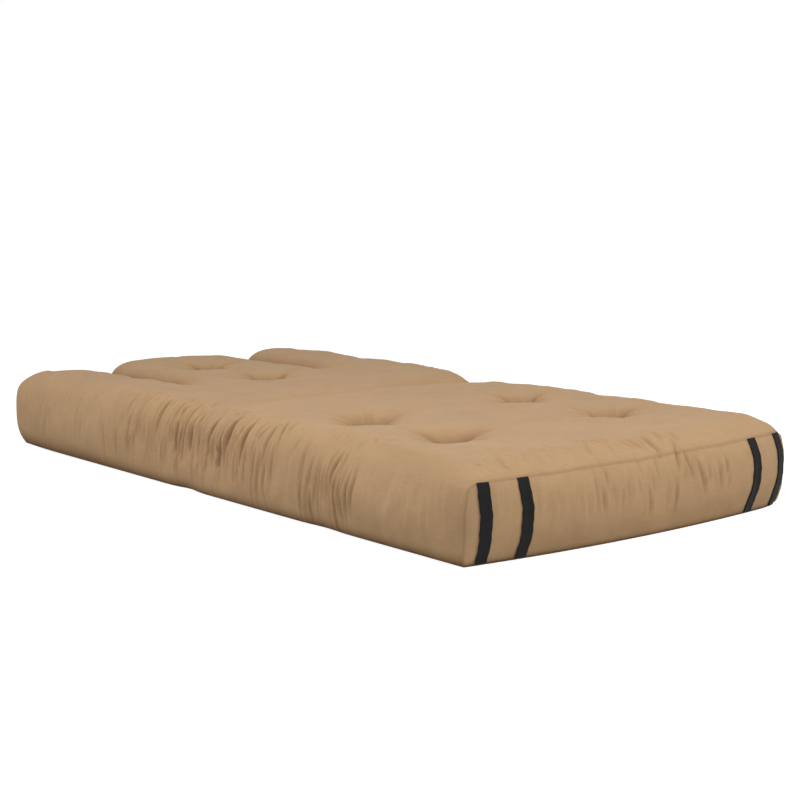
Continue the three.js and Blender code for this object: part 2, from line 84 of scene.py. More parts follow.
# %% [markdown]
# ## A box of cloth, as a bag maker would cut it
# A futon casing is a top and a bottom panel joined by walls. Sculpting it freehand would lose the straight
# threads, so it starts as a flat grid, is slit where the slots are and then extruded into a closed box.

# %% Grid lines
CELL, FINE = 0.02, 0.012  # fine where the cloth is pleated
WALL_ROWS = 8
TINY = 1e-5  # two places nearer than this are the same


def grid_lines(stops, cells):
    """Lines through every stop, with even steps of about one cell between."""
    lines = [stops[0]]
    for low, high, cell in zip(stops, stops[1:], cells):
        steps = max(1, round((high - low) / cell))
        lines += [low + (high - low) * (i + 1) / steps for i in range(steps)]
    return lines


length_lines = grid_lines(
    [FAR_END, SLOT_END, -0.34, BACK_CUT, SEAT_CUT, 0.34, 0.42, 0.64, STRAP_END],
    [CELL, CELL, FINE, FINE, FINE, CELL, FINE, CELL],
)
width_lines = grid_lines([-HALF, -SLOT, SLOT, HALF], [CELL, 0.85 * CELL, CELL])
print("the panel has", len(length_lines), "by", len(width_lines), "lines")

# %% Cut the panel and slit it
cloth = bmesh.new()
bmesh.ops.create_grid(
    cloth, x_segments=len(length_lines) - 1, y_segments=len(width_lines) - 1, size=0.5
)
for v in cloth.verts:
    i = round((v.co.x + 0.5) * (len(length_lines) - 1))
    j = round((v.co.y + 0.5) * (len(width_lines) - 1))
    v.co.xy = length_lines[i], width_lines[j]


def on_slot(v, end=SLOT_END + TINY):
    """Whether a point of the panel lies on a slot."""
    return abs(abs(v.co.y) - SLOT) < TINY and v.co.x < end


slits = [e for e in cloth.edges if all(on_slot(v) for v in e.verts)]
bmesh.ops.split_edges(cloth, edges=slits)
for v in [v for v in cloth.verts if on_slot(v, SLOT_END - TINY)]:
    inside = sum(f.calc_center_median().y for f in v.link_faces) / len(v.link_faces)
    v.co.y += math.copysign(SLOT_GAP / 2, inside - v.co.y)
print(len(slits), "edges slit,", len(cloth.verts), "points in the panel")

# %% Raise the panel into a box with walls
made = bmesh.ops.extrude_face_region(cloth, geom=cloth.faces[:], use_keep_orig=True)
raised = [g for g in made["geom"] if isinstance(g, bmesh.types.BMVert)]
bmesh.ops.translate(cloth, verts=raised, vec=(0, 0, 1))
posts = [e for e in cloth.edges if abs(e.verts[0].co.z - e.verts[1].co.z) > 0.5]
bmesh.ops.subdivide_edges(cloth, edges=posts, cuts=WALL_ROWS - 1, use_grid_fill=True)
bmesh.ops.recalc_face_normals(cloth, faces=cloth.faces[:])
print(len(cloth.verts), "points in the box,", sum(e.is_boundary for e in cloth.edges), "open edges")

# %% [markdown]
# ## Where each thread runs
# A weave has to follow the cloth round the edges, so each face gets its place on the unrolled cloth as a
# UV map, in metres. Where each point was cut from, its plan, is kept as an attribute that all later steps
# read. The material number of a face says which piece of the casing it will go to.

# %% Unrolled cloth and plan
WALL = 0.15  # cloth between the top seam and the under seam


def finished_mesh(name, shape):
    """The shape written to a new mesh, and freed."""
    mesh = bpy.data.meshes.new(name)
    shape.to_mesh(mesh)
    shape.free()
    return mesh


plan = cloth.verts.layers.float_vector.new("plan")
for v in cloth.verts:
    v[plan] = v.co
weave_map = cloth.loops.layers.uv.new("weave")
for f in cloth.faces:
    middle, facing = f.calc_center_median(), f.normal.copy()
    if middle.x > SEAT_CUT:
        f.material_index = 0
    elif middle.x > BACK_CUT:
        f.material_index = 1
    else:
        f.material_index = 3 + (middle.y > SLOT) - (middle.y < -SLOT)
    f.smooth = True
    for loop in f.loops:
        down = (1 - loop.vert.co.z) * WALL
        if abs(facing.z) > 0.5:
            down = 0
        loop[weave_map].uv = loop.vert.co.x + facing.x * down, loop.vert.co.y + facing.y * down
casing_mesh = finished_mesh("casing", cloth)
print("the weave map covers", len(casing_mesh.polygons), "faces")

# %% [markdown]
# ## Plump the box
# The padding pushes the cloth into a soft crown. The long sides and flap tips have no stiff seam: the cloth
# rolls over them like a bolster. The strap end has a seam at its top edge, and its wall bulges on its own.
# A sculpt would be lost at each change, so these are formulas of the plan.

# %% Profiles
SIDE_OUT, TIP_OUT, STRAP_OUT = 0.015, 0.008, 0.024  # how far the walls bulge past the seams
SIDE_ROLL, TIP_ROLL, STRAP_ROLL, SLOT_ROLL = 0.105, 0.085, 0.09, 0.065  # how far in the top rolls over
ROLL_POWER = 2.9
WAIST = 0.088  # height where a wall is widest
UNDER_REACH, UNDER_POWER = 0.016, 4
OUTER_EDGE = 0.153  # height at which a roll turns into its wall
DROP = CROWN - OUTER_EDGE


def unit(value):
    """The value, cut off below 0 and above 1."""
    return np.clip(value, 0, 1)


def circle_rise(distance, reach):
    """0 at the edge and 1 from the reach inwards, along a quarter circle."""
    left = 1 - unit(distance / reach)
    return np.sqrt(1 - left * left)


def bell(distance, reach):
    """1 in the middle, fading smoothly over the reach."""
    return np.exp(-((distance / reach) ** 2))


def walls_out(tip):
    """How far the long walls bulge: less towards the flaps' tips."""
    return TIP_OUT + (SIDE_OUT - TIP_OUT) * unit(tip / 0.2)


def roll_height(distance, reach, out):
    """Height of a rolled edge's top at a distance in from the seam line."""
    left = 1 - unit((distance + out) / reach)
    return WAIST + (CROWN - WAIST) * (1 - left**ROLL_POWER) ** (1 / ROLL_POWER)


def top_roll(z, reach):
    """How far the wall leans in above its waist."""
    above = unit((z - WAIST) / (CROWN - WAIST))
    return reach * (1 - (1 - above**ROLL_POWER) ** (1 / ROLL_POWER))


def under_roll(z, reach, power):
    """How far the wall tucks in below its waist."""
    below = unit((WAIST - z) / WAIST)
    return reach * (1 - (1 - below**power) ** (1 / power))


def under_height(distance):
    """Height of the underside, which curls up a little at its rim."""
    out = 1 - unit((distance + 0.006) / UNDER_REACH)
    return WAIST * (1 - (1 - out**UNDER_POWER) ** (1 / UNDER_POWER))


print("a side's top is at", roll_height(0, SIDE_ROLL, SIDE_OUT).round(3))

# %% Rounded flap corners
TIP_ROUND, LEFT_TONGUE, RIGHT_TONGUE = 0.028, 0.15, 0.19  # small outside, wide beside the slots


def flap_corner(x, y):
    """How far into its flap's rounded corner a point is, in shares of the radius, and where."""
    middle = np.abs(y) < SLOT
    low = np.where(middle, -SLOT + SLOT_GAP / 2, np.where(y > 0, SLOT + SLOT_GAP / 2, -HALF))
    high = np.where(middle, SLOT - SLOT_GAP / 2, np.where(y > 0, HALF, -SLOT - SLOT_GAP / 2))
    wide = np.where(y > 0, RIGHT_TONGUE, LEFT_TONGUE)
    side = np.where(y > 0, 1, -1)
    from_slot = np.where(y > 0, y - low, high - y)
    tongue = middle | (from_slot < wide)
    side = np.where(middle | ~tongue, side, -side)
    radius = np.where(tongue, wide, TIP_ROUND)
    corner = np.where(side > 0, high, low) - side * radius
    u = unit((FAR_END + radius - x) / radius)
    v = np.where(u > 0, unit((y - corner) * side / radius), 0)
    return u, v, radius, side, corner, tongue, low, high


STRAP_BOW, TIP_BOW, BOW_REACH = 0.036, 0.012, 0.2  # how far the ends bow out at mid-width
MID_TUCK, FRONT_TUCK = 0.009, 0.005  # how far the sides are drawn in at the creases


def placed(x, y):
    """The plan with rounded flap corners, bowed ends and a waist at the creases."""
    u, v, radius, side, corner, tongue, low, high = flap_corner(x, y)
    slotted = x < SLOT_END
    low, high = np.where(slotted, low, -HALF), np.where(slotted, high, HALF)
    across = np.clip((2 * y - low - high) / (high - low), -1, 1)
    px = np.where(u > 0, FAR_END + radius - radius * u * np.sqrt(1 - v * v / 2), x)
    py = np.where(v > 0, corner + side * radius * v * np.sqrt(1 - u * u / 2), y)
    px -= TIP_BOW * (1 - across**2) * (np.maximum(FAR_END + BOW_REACH - x, 0) / BOW_REACH) ** 2
    px += STRAP_BOW * (1 - (y / HALF) ** 2) * (np.maximum(x - STRAP_END + BOW_REACH, 0) / BOW_REACH) ** 2
    tuck = MID_TUCK * bell(x - MID_FOLD + 0.06 * (y < 0), 0.045) + FRONT_TUCK * bell(x - FRONT_FOLD, 0.06)
    return px, py - tuck * (y / HALF) ** 3


print("the middle flap ends at", placed(FAR_END, np.zeros(1))[0].round(3))

# %% Height of the crown
NEAR_CREASE, FAR_CREASE, FRONT_CREASE = 0.02, 0.016, 0.007  # depths of the two fold creases
FAR_SAG, LEFT_TIP_SAG, RIGHT_TIP_SAG, SLUMP = 0.017, 0.006, 0.01, 0.012


def edge_distances(x, y):
    """Distances from the sides, the strap end, the flaps' tips and the slots."""
    across = np.abs(y)
    past = np.maximum(x - SLOT_END, 0)
    beside = np.maximum(np.abs(across - SLOT) - SLOT_GAP / 2, 0)
    return HALF - across, STRAP_END - x, x - FAR_END, np.hypot(past, beside)


def crown_height(x, y):
    """The plumped top over a plan point, before the tufts draw it in."""
    side, strap, tip, slot = edge_distances(x, y)
    u, v, radius, _, _, tongue = flap_corner(x, y)[:6]
    full = 1 - (CROWN - roll_height(side, SIDE_ROLL, walls_out(tip))) / DROP
    full = full * (1 - (CROWN - SEAM) / DROP * (1 - circle_rise(strap, STRAP_ROLL)))
    in_corner = (u > 0) & (v > 0) & tongue
    from_arc = radius * (1 - np.sqrt(u * u + v * v - u * u * v * v))
    tip, slot = np.where(in_corner, from_arc, tip), np.where(in_corner, from_arc, slot)
    tip_drop = unit((CROWN - roll_height(tip, TIP_ROLL, TIP_OUT)) / DROP)
    deeper = 0.7 + 0.4 * unit((SLOT_END - x) / 0.35)
    slot_drop = deeper * (1 - circle_rise(slot, SLOT_ROLL))
    turn = v * v / np.maximum(u * u + v * v, 1e-9)
    in_arc = turn * slot_drop + (1 - turn) * tip_drop
    full = full * (1 - np.where(in_corner, in_arc, 1 - (1 - tip_drop) * (1 - slot_drop)))
    z = CROWN - DROP * (1 - full)
    near = 1 - 0.7 * unit((-y / HALF - 0.5) / 0.5)
    far = unit((y / HALF - 0.2) / 0.6)
    z -= (NEAR_CREASE * near + FAR_CREASE * far) * full * bell(x - MID_FOLD, 0.042 + 0.012 * far)
    z -= FAR_SAG * far * full * bell(x - MID_FOLD - 0.13, 0.22)  # the seat's far edge sags past the crease
    z -= FRONT_CREASE * full * near * (1 - 0.5 * far) * bell(x - FRONT_FOLD, 0.06)
    z -= RIGHT_TIP_SAG * full * (y > SLOT) * unit((-0.72 - x) / 0.2)
    z -= LEFT_TIP_SAG * full * (y < -SLOT) * unit((-0.86 - x) / 0.12)
    slumped = (np.abs(y) > SLOT) != (y > 0)  # a flap slumps a little beside the slot on its right
    past_end = unit((SLOT_END - x) / 0.3)
    return z - np.where(slumped, SLUMP, 0) * past_end * unit(1 - slot / 0.15) ** 1.5


print("height at the crease:", crown_height(MID_FOLD, np.zeros(1)).round(3))

# %% Plump
LEAN_OUT, LEAN_IN, LEAN_REACH = 0.014, 0.006, 0.15  # the strap end leans out from its under seam upwards
TIP_UNDER, SIDE_UNDER = (0.03, 2.4), (0.02, 2.5)  # reach and power of the roll below a wall's waist
CORNER_FADE = 0.08


def plumped(points):
    """The plumped place of each point of the plan, whose level is 0 below and 1 on top."""
    x, y, level = points.T
    px, py = placed(x, y)
    px += (LEAN_OUT * level - LEAN_IN) * (np.maximum(x - STRAP_END + LEAN_REACH, 0) / LEAN_REACH) ** 2
    side, strap, tip, slot = edge_distances(x, y)
    on_wall = (level > TINY) & (level < 1 - TINY)
    top = crown_height(x, y)
    rim = np.minimum.reduce([side, strap, tip, slot])
    z = np.where(level > 0.5, top, under_height(rim))
    z = np.where(on_wall, UNDER_SEAM + (top - UNDER_SEAM) * level, z)
    at_side, at_strap, at_tip = side < TINY, strap < TINY, tip < TINY
    at_slot = on_wall & (slot < TINY) & ~at_tip
    u, v, _, turned = flap_corner(x, y)[:4]
    v = np.where(at_side | at_slot, 1.0, v)
    out_x, out_y = -u * np.sqrt(1 - v * v / 2), turned * v * np.sqrt(1 - u * u / 2)
    fade = np.where(at_side, circle_rise(strap, CORNER_FADE), 1.0)
    crease = 1 - 0.6 * bell(x - MID_FOLD, 0.042)
    by_tip = bell(tip, 0.12)
    under = by_tip * under_roll(z, *TIP_UNDER) + (1 - by_tip) * under_roll(z, *SIDE_UNDER)
    out = walls_out(tip)
    bulge = np.where(at_tip, TIP_OUT - top_roll(z, TIP_ROLL) - under, 0)
    along_side = (out - top_roll(z, SIDE_ROLL) - under) * fade * crease
    bulge = np.where(at_side & ~at_tip, along_side, bulge)
    open_slot = unit((SLOT_END - x) / 0.1)
    along_slot = u * u * (out - under) - top_roll(z, TIP_ROLL) * open_slot
    bulge = np.where(at_slot, along_slot, bulge) * on_wall
    drawn_in = np.where(level < TINY, by_tip, 0)  # the under seam is drawn in at the tips
    px += 0.012 * drawn_in * bell(tip, 0.03)
    py -= np.sign(y) * 0.008 * drawn_in * bell(side, 0.03)
    px += out_x * bulge
    py += out_y * bulge
    swell = STRAP_OUT * (1 - np.abs(2 * level**1.15 - 1) ** 2)
    swell *= circle_rise(side, np.where(y > 0, CORNER_FADE, 0.2))  # flatter by the left corner
    px += np.where(on_wall & at_strap, swell, 0)
    at_corner = bell(np.hypot(strap, side), np.where(y > 0, 0.03, 0.017))
    pulled = at_corner * np.clip((z - 0.1) / 0.05, 0, 1.2) ** 2 * 0.3  # the corners are drawn in above
    tucked = at_corner * unit(1 - z / 0.05) ** 2 * (y > 0) * 0.5
    py -= np.sign(y) * (0.022 * pulled + 0.02 * tucked)
    px -= 0.005 * pulled + 0.006 * tucked + 0.002 * bell(np.hypot(strap, side), 0.022) * (y > 0)
    z += 0.01 * tucked
    return np.stack([px, py, z], 1)


print("half-way up a wall:", plumped(np.array([[0, -HALF, 0.5]])).round(3))

# %% Move the points
def new_object(name, data):
    """A new object for the data, linked into the scene."""
    obj = bpy.data.objects.new(name, data)
    bpy.context.collection.objects.link(obj)
    return obj


def coords(mesh, kind="position"):
    """The mesh's points, its normals or a stored attribute, in rows of three."""
    out = np.empty(len(mesh.vertices) * 3)
    source = mesh.vertex_normals if kind == "normal" else mesh.attributes[kind].data
    source.foreach_get("vector", out)
    return out.reshape(-1, 3)


def move_to(mesh, points):
    """Moves the mesh's points to these places."""
    mesh.vertices.foreach_set("co", np.ascontiguousarray(points, float).ravel())
    mesh.update()


move_to(casing_mesh, plumped(coords(casing_mesh, "plan")))
casing = new_object("casing", casing_mesh)
print("plumped casing:", [round(d, 3) for d in casing.dimensions])

# %% [markdown]
# ## Let the padding press on the cloth
# A formula alone looks too even. The real cloth is cut too big, and the padding pushes it out between twine
# and seams. Blender's cloth simulation does the same, with pressure inside and the underside and tufts held.
# The fine mesh would take minutes, so the coarse one's movement is capped and added later.

# %% Hold the cloth
STRAP_PAIR, PAIR_REACH, WALL_REACH = 0.364, 0.06, 0.015  # the middle of a pair of straps, and round it


def by_straps(x, y):
    """1 beside the straps, which keep the strap end's wall even, and 0 elsewhere."""
    from_pair = np.abs(np.abs(y) - STRAP_PAIR)
    return unit(1.8 - from_pair / PAIR_REACH) * bell(STRAP_END - x, WALL_REACH)


x, y, level = coords(casing_mesh, "plan").T
side, strap, tip, slot = edge_distances(x, y)
holds = [bell(np.hypot(x - tx, y - ty), 0.03) for tx, ty in TUFTS.values()]
holds += [unit(1 - level / 0.4), bell(slot, 0.02), by_straps(x, y)]
holds.append(0.6 * bell(strap, WALL_REACH) * (level > 0.5))
held = np.maximum.reduce(holds)
group = casing.vertex_groups.new(name="held")
for number, weight in enumerate(held):
    group.add([number], float(weight), "REPLACE")
print("held points:", (held > 0.5).sum(), "of", len(held))

# %% Simulate the cloth
SWELL_CAP = 0.012
FRAMES, PRESSURE, STIFFNESS = 20, 4, 40
scene = bpy.context.scene
start = swelled = coords(casing_mesh)
fabric = casing.modifiers.new("cloth", "CLOTH")
settings = fabric.settings
settings.quality, settings.mass, settings.air_damping = 4, 0.5, 3
settings.tension_stiffness = settings.compression_stiffness = STIFFNESS
settings.shear_stiffness = STIFFNESS
settings.bending_stiffness = 0.5
settings.use_pressure = True
settings.uniform_pressure_force = PRESSURE
settings.shrink_min = -0.01  # the cloth is cut 1% too big
settings.vertex_group_mass = "held"
settings.effector_weights.gravity = 0
fabric.collision_settings.use_collision = False
fabric.collision_settings.use_self_collision = False
scene.frame_start, scene.frame_end = 1, FRAMES
for number in range(1, FRAMES + 1):
    scene.frame_set(number)
swelled = coords(casing.evaluated_get(bpy.context.evaluated_depsgraph_get()).data)
casing.modifiers.remove(fabric)
scene.frame_set(1)
casing.vertex_groups.clear()
moved = swelled - start
size = np.linalg.norm(moved, axis=1)
moved *= (SWELL_CAP * np.tanh(size / SWELL_CAP) / np.maximum(size, 1e-9))[:, None]
print("free swell in mm, most and mean:", (size.max() * 1000).round(1), (size.mean() * 1000).round(1))

# %% [markdown]
# ## Smooth the cloth
# Pleats need a finer mesh, but smoothing the shaped box would round its edges off. So the shape is worked
# out again on a finer plan, and what the simulation moved is smoothed by itself and added.

# %% Subdivide
FINENESS = 2  # how often each face is split in four
SOFT_BELOW, SOFT_SPAN = 0.004, 0.0055  # where the limit above the crown begins, and how it eases in


def subdivided(obj, kind):
    """The object's mesh, subdivided and put back on the object."""
    finer = obj.modifiers.new("finer", "SUBSURF")
    finer.subdivision_type = kind
    finer.levels = finer.render_levels = FINENESS
    depsgraph = bpy.context.evaluated_depsgraph_get()
    fine = bpy.data.meshes.new_from_object(obj.evaluated_get(depsgraph), depsgraph=depsgraph)
    obj.modifiers.clear()
    obj.data = fine
    return fine


drift_mesh = casing_mesh.copy()
move_to(drift_mesh, moved)
drift = new_object("drift", drift_mesh)
drift_points = coords(subdivided(drift, "CATMULL_CLARK"))
bpy.data.objects.remove(drift)
casing_mesh = subdivided(casing, "SIMPLE")
x, y, level = coords(casing_mesh, "plan").T
on_top, under = level > 1 - TINY, level < TINY
points = plumped(coords(casing_mesh, "plan")) + drift_points * ~under[:, None]
over = np.maximum(points[:, 2] - CROWN + SOFT_BELOW, 0)  # the swollen crown stays below the folds' axes
points[:, 2] += SOFT_SPAN * np.tanh(over / SOFT_SPAN) - over
move_to(casing_mesh, points)
print("fine casing:", len(casing_mesh.vertices), "points")

# %% [markdown]
# ## Draw in the tufts
# Twine pulls the top down into a steep little well, with a wide soft bowl round it and folds running out.
# Cut holes would have sharp rims. Depths over the plan simply add up where they meet.

# %% Tufts
TUFT_FORMS = {  # depth and reach of each well, depth and reach of the soft bowl round it
    "front_left": (0.060, 0.028, 0.015, 0.120),
    "front_right": (0.060, 0.027, 0.014, 0.115),
    "seat_left": (0.042, 0.031, 0.014, 0.125),
    "seat_right": (0.050, 0.027, 0.011, 0.110),
    "back": (0.058, 0.027, 0.012, 0.110),
    "middle_flap": (0.058, 0.027, 0.012, 0.110),
}
LINKED = [("front_left", "seat_left"), ("front_right", "seat_right"), ("back", "middle_flap")]
LINKED += [("front_left", "front_right"), ("seat_left", "seat_right")]
LOOKED_ALONG = math.atan2(0.807, 0.59)  # the cloth pulls most across this line
WING_TURN = 0.75  # and in two wings, turned this far from it
LINK_DIP, LINK_WIDE = 0.0075, 0.02


def window(s):
    """A soft bump, 1 at s = 0 and nothing past 1 or -1."""
    return unit(1 - s * s) ** 2


def tuft_well(dx, dy, depth, reach, bowl_depth, bowl_reach):
    """Depth of one well, with the soft bowl and the two wings round it."""
    r = np.hypot(dx, dy)
    across = dx * math.cos(LOOKED_ALONG) + dy * math.sin(LOOKED_ALONG)
    along = dy * math.cos(LOOKED_ALONG) - dx * math.sin(LOOKED_ALONG)
    well = depth * np.exp(-((np.hypot(across, along) / reach) ** 1.5))
    well += bowl_depth * window(np.hypot(0.8 * across, along + 0.012) / bowl_reach)
    for angle in (LOOKED_ALONG + WING_TURN, LOOKED_ALONG + math.pi - WING_TURN):
        turned = np.arctan2(dy, dx) - angle
        aside, out = r * np.sin(turned), r * np.cos(turned)
        wing = bell(aside, 0.006 + 0.05 * r) * window((r - 0.055) / 0.1)
        well += np.where(out > 0, 0.33 * depth * wing, 0)
    return well


def tuft_folds(dx, dy, rng):
    """Depth of the folds that run out from one well, at seeded angles."""
    r = np.hypot(dx, dy)
    folds = np.zeros_like(r)
    both_ways = [LOOKED_ALONG + side * math.pi + rng.normal(0, 0.45, 4) for side in (0, 1)]
    for angle in np.concatenate(both_ways + [rng.uniform(0, 2 * math.pi, 4)]):
        bend = rng.uniform(-3, 3)
        turned = np.arctan2(dy, dx) - angle - bend * r
        aside, out = r * np.sin(turned), r * np.cos(turned)
        length = rng.uniform(0.07, 0.13)
        strength = rng.uniform(0.0025, 0.0065)
        width = rng.uniform(0.004, 0.006) + 0.045 * r
        line = bell(aside, width) - 0.45 * bell(np.abs(aside) - 2.0 * width, width)
        line *= window((r - 0.45 * length) / (0.62 * length))
        folds += np.where(out > 0, strength * line, 0)
    return folds


def dip_between(x, y, first, second):
    """Depth of the dip in the cloth from one tuft to the next."""
    a, b = np.array(TUFTS[first]), np.array(TUFTS[second])
    span = np.hypot(*(b - a))
    t = ((x - a[0]) * (b - a)[0] + (y - a[1]) * (b - a)[1]) / span**2
    aside = ((y - a[1]) * (b - a)[0] - (x - a[0]) * (b - a)[1]) / span
    off = np.abs(2 * t - 1)  # 0 half-way between the tufts and 1 at either
    deep = LINK_DIP * (0.35 + 0.65 * off**2) * (off < 1) * window(np.maximum(off - 0.7, 0) / 0.4)
    return deep * bell(aside + 0.006 * np.sin(9 * t), LINK_WIDE)


# %% Draw the top down
dip = np.zeros_like(x)
for number, (name, (tx, ty)) in enumerate(TUFTS.items()):
    dip += tuft_well(x - tx, y - ty, *TUFT_FORMS[name])
    dip += tuft_folds(x - tx, y - ty, np.random.default_rng(40 + number))
for pair in LINKED:
    dip += dip_between(x, y, *pair)
dip *= on_top
points = coords(casing_mesh)
points[:, 2] -= dip
for tx, ty in TUFTS.values():  # the twine dimples the underside a little as well
    near = unit(1 - np.hypot(x - tx, y - ty) / 0.055)
    points[:, 2] += 0.014 * near**1.3 * under
move_to(casing_mesh, points)
print("the tufts draw the top down by up to", round(dip.max() * 1000), "mm")

# %% [markdown]
# ## Press in the pleats
# The casing is a little longer than its padding, so the long sides gather into upright pleats, deepest
# where the mattress folds. Each pleat is a narrow valley that runs up the wall and fades out over the top.
# By hand it would take hours, so they come from a seeded dice, and only a few deep ones are listed one by
# one.

# %% Pleats on the long sides
STRETCHES = [  # low x, high x, count, depth, width, middle, half length, lean
    (-0.40, -0.12, 28, 0.0078, 0.0032, 0.108, 0.080, 0.08),
    (-0.14, 0.12, 27, 0.0092, 0.0033, 0.106, 0.085, 0.10),
    (0.08, 0.33, 19, 0.0085, 0.0038, 0.100, 0.085, 0.10),
    (0.42, 0.64, 14, 0.0085, 0.0042, 0.090, 0.085, 0.10),
    (-0.95, -0.28, 40, 0.0042, 0.0050, 0.095, 0.095, 0.06),
    (0.28, 0.45, 9, 0.0036, 0.0055, 0.090, 0.080, 0.10),
    (0.60, 0.95, 16, 0.0022, 0.0060, 0.095, 0.070, 0.10),
    (-0.34, 0.34, 34, 0.0062, 0.0042, 0.190, 0.034, 0.35),
    (0.36, 0.66, 16, 0.0048, 0.0042, 0.185, 0.032, 0.35),
]
GASHES = [  # the deep ones that show in the photograph: x, depth, width, middle, half length, lean
    (-0.205, 0.0140, 0.0056, 0.150, 0.060, 0.05),
    (-0.058, 0.0190, 0.0066, 0.130, 0.062, 0.08),
    (-0.020, 0.0120, 0.0055, 0.115, 0.060, 0.02),
    (0.045, 0.0130, 0.0056, 0.130, 0.050, 0.10),
    (0.120, 0.0150, 0.0056, 0.150, 0.055, 0.12),
    (0.185, 0.0100, 0.0055, 0.140, 0.055, 0.10),
    (0.560, 0.0100, 0.0056, 0.120, 0.050, 0.12),
]
PLEAT_REACH, TOP_OF_PLEATS = 0.06, 0.36  # how far aside and over the top they go


def valley(across, width):
    """A narrow valley between two low ridges."""
    return bell(across, width) - 0.4 * bell(np.abs(across) - 2.1 * width, 1.1 * width)


def seeded_pleats(stretches, seed):
    """Pleats with their place, depth, width, middle up the cloth, half length and lean."""
    pleats = []
    for i, (low, high, count, depth, width, middle, length, lean) in enumerate(stretches):
        rng = np.random.default_rng(seed + i)
        for at in low + (high - low) * (np.arange(count) + rng.uniform(0.1, 0.9, count)) / count:
            size = depth * rng.uniform(0.35, 1.0), width * rng.uniform(0.7, 1.3)
            reach = middle + rng.normal(0, 0.02), length * rng.uniform(0.6, 1.2)
            pleats.append((at, *size, *reach, rng.normal(0, lean)))
    return pleats


def gathered(along, up_cloth, pleats):
    """How far pleats press in the cloth, by the place along its edge and up it."""
    depth = np.zeros_like(along)
    for at, deep, width, middle, length, lean in pleats:
        near = np.abs(along - at) < PLEAT_REACH
        up = up_cloth[near] - middle
        depth[near] += deep * window(up / length) * valley(along[near] - at - lean * up, width)
    return depth


# %% Gather the long sides
normals, points = coords(casing_mesh, "normal"), coords(casing_mesh)
girth = np.where(on_top, WALL + HALF - np.abs(y), WALL * level)
wall_of_side = np.abs(y) > HALF - TINY
reached = ~under & (wall_of_side | on_top) & (girth < TOP_OF_PLEATS)
press = np.zeros_like(x)
for side, seed in ((-1, 7), (1, 70)):
    pleats = seeded_pleats(STRETCHES, seed) + GASHES
    here = reached & (y * side > 0)
    over_top = unit((girth[here] - 0.09) / 0.05) * (side > 0)  # the far side's fade out there
    press[here] += gathered(x[here], girth[here], pleats) * (1 - 0.8 * over_top)
    print(len(pleats), "pleats on one side")

# %% Puckers and unevenness
PUCKERS = [  # low y, high y, count, depth, width, middle in from the seam, half length, lean
    (-0.16, 0.23, 25, 0.0066, 0.0036, -0.045, 0.048, 0.10),
    (-0.40, 0.38, 36, 0.0026, 0.0045, -0.040, 0.050, 0.10),
    (-0.13, 0.12, 15, 0.0070, 0.0038, 0.034, 0.032, 0.40),
    (-0.42, -0.16, 24, 0.0036, 0.0036, 0.036, 0.036, 0.30),
]
WAVES, WAVE_SPAN, UNEVEN = 26, (0.05, 0.22), 0.0012  # count, lengths and height of the padding's waves
FULL_TURN = 6.28


def padding_waves(x, y, seed):
    """Gentle, seeded unevenness of the padding, from many long waves."""
    rng = np.random.default_rng(seed)
    total = np.zeros_like(x)
    for _ in range(WAVES):
        length, angle, phase = rng.uniform(*WAVE_SPAN), rng.uniform(0, math.pi), rng.uniform(0, FULL_TURN)
        total += np.sin(FULL_TURN * (x * math.cos(angle) + y * math.sin(angle)) / length + phase)
    return total / math.sqrt(WAVES)


at_end = STRAP_END - x < TINY
from_seam = np.where(on_top, STRAP_END - x, -(1 - level) * WALL)
near_end = ~under & (at_end | on_top) & (from_seam < 0.12)
puckers = seeded_pleats(PUCKERS, 300)
press[near_end] += gathered(y[near_end], from_seam[near_end], puckers)
edge_fade = unit(np.abs(np.abs(y) - SLOT) / 0.03) * (1 - 0.85 * by_straps(x, y))
uneven = UNEVEN * padding_waves(x, y + WALL * level, 5) * ~under * edge_fade
points -= normals * (press - uneven)[:, None]
points[:, 2] = np.where(under, points[:, 2], np.maximum(points[:, 2], 0.0008))  # none goes under the floor
move_to(casing_mesh, points)
print(len(puckers), "puckers; the deepest pleat is", round(press.max() * 1000), "mm")

# %% [markdown]
# ## Note the painted shade and the seams
# Shade is painted into the cloth's colour where light falls less: deep in a well or a pleat, beside the
# slots and at the foot of the walls. A seam is a thin dark line. A painted image would be wrong after each
# change, so both are worked out at every point and kept as attributes for the colour.

# %% Painted shade and seams
FAR_OFF = 0.05  # stands for no seam near by


def keep_value(name, values):
    """Keeps a value for each point of the casing as an attribute."""
    casing_mesh.attributes.new(name, "FLOAT", "POINT").data.foreach_set("value", values)


# painted shade: the foot of each wall is darkened towards the floor, where the floor's shadow falls
foot = np.where(at_end, 0.018, 0.036 + 0.02 * unit((-0.15 - x) / 0.4))  # height of the shade there
at_foot = np.where(on_top, 0, unit(1 - points[:, 2] / foot))
outermost = np.minimum.reduce([HALF - np.abs(y), STRAP_END - x, x - FAR_END])
at_foot *= unit(1 - outermost / 0.03)
beside_slot = np.exp(-np.maximum(np.abs(np.abs(y) - SLOT) - SLOT_GAP / 2, 0) / 0.022)
by_slot = unit((SLOT_END - x) / 0.1) * beside_slot * ~under
in_well = unit((dip - 0.004) / 0.03) + unit((dip - 0.022) / 0.03) ** 1.5
in_pleat = unit((press - 0.001) / 0.008)
# painted shade: deep wells, pleats and the cloth beside the slots, with more at the walls' foot
painted_shade = unit(0.5 * in_well + 0.55 * in_pleat + 0.6 * by_slot) + 1.45 * at_foot**2
keep_value("painted_shade", unit(painted_shade / 2))
seams = [
    np.where(on_top, STRAP_END - x, np.where(at_end, (1 - level) * WALL, FAR_OFF)),
    np.where(at_end & ~under, HALF - np.abs(y), FAR_OFF),
    np.where(wall_of_side & ~under, STRAP_END - x, FAR_OFF),
    np.where(under, outermost, level * WALL),
]
to_seam = np.minimum.reduce(seams)
keep_value("to_seam", to_seam)
print("hollow points:", (painted_shade > 0.5).sum(), "by a seam:", (to_seam < 0.003).sum())

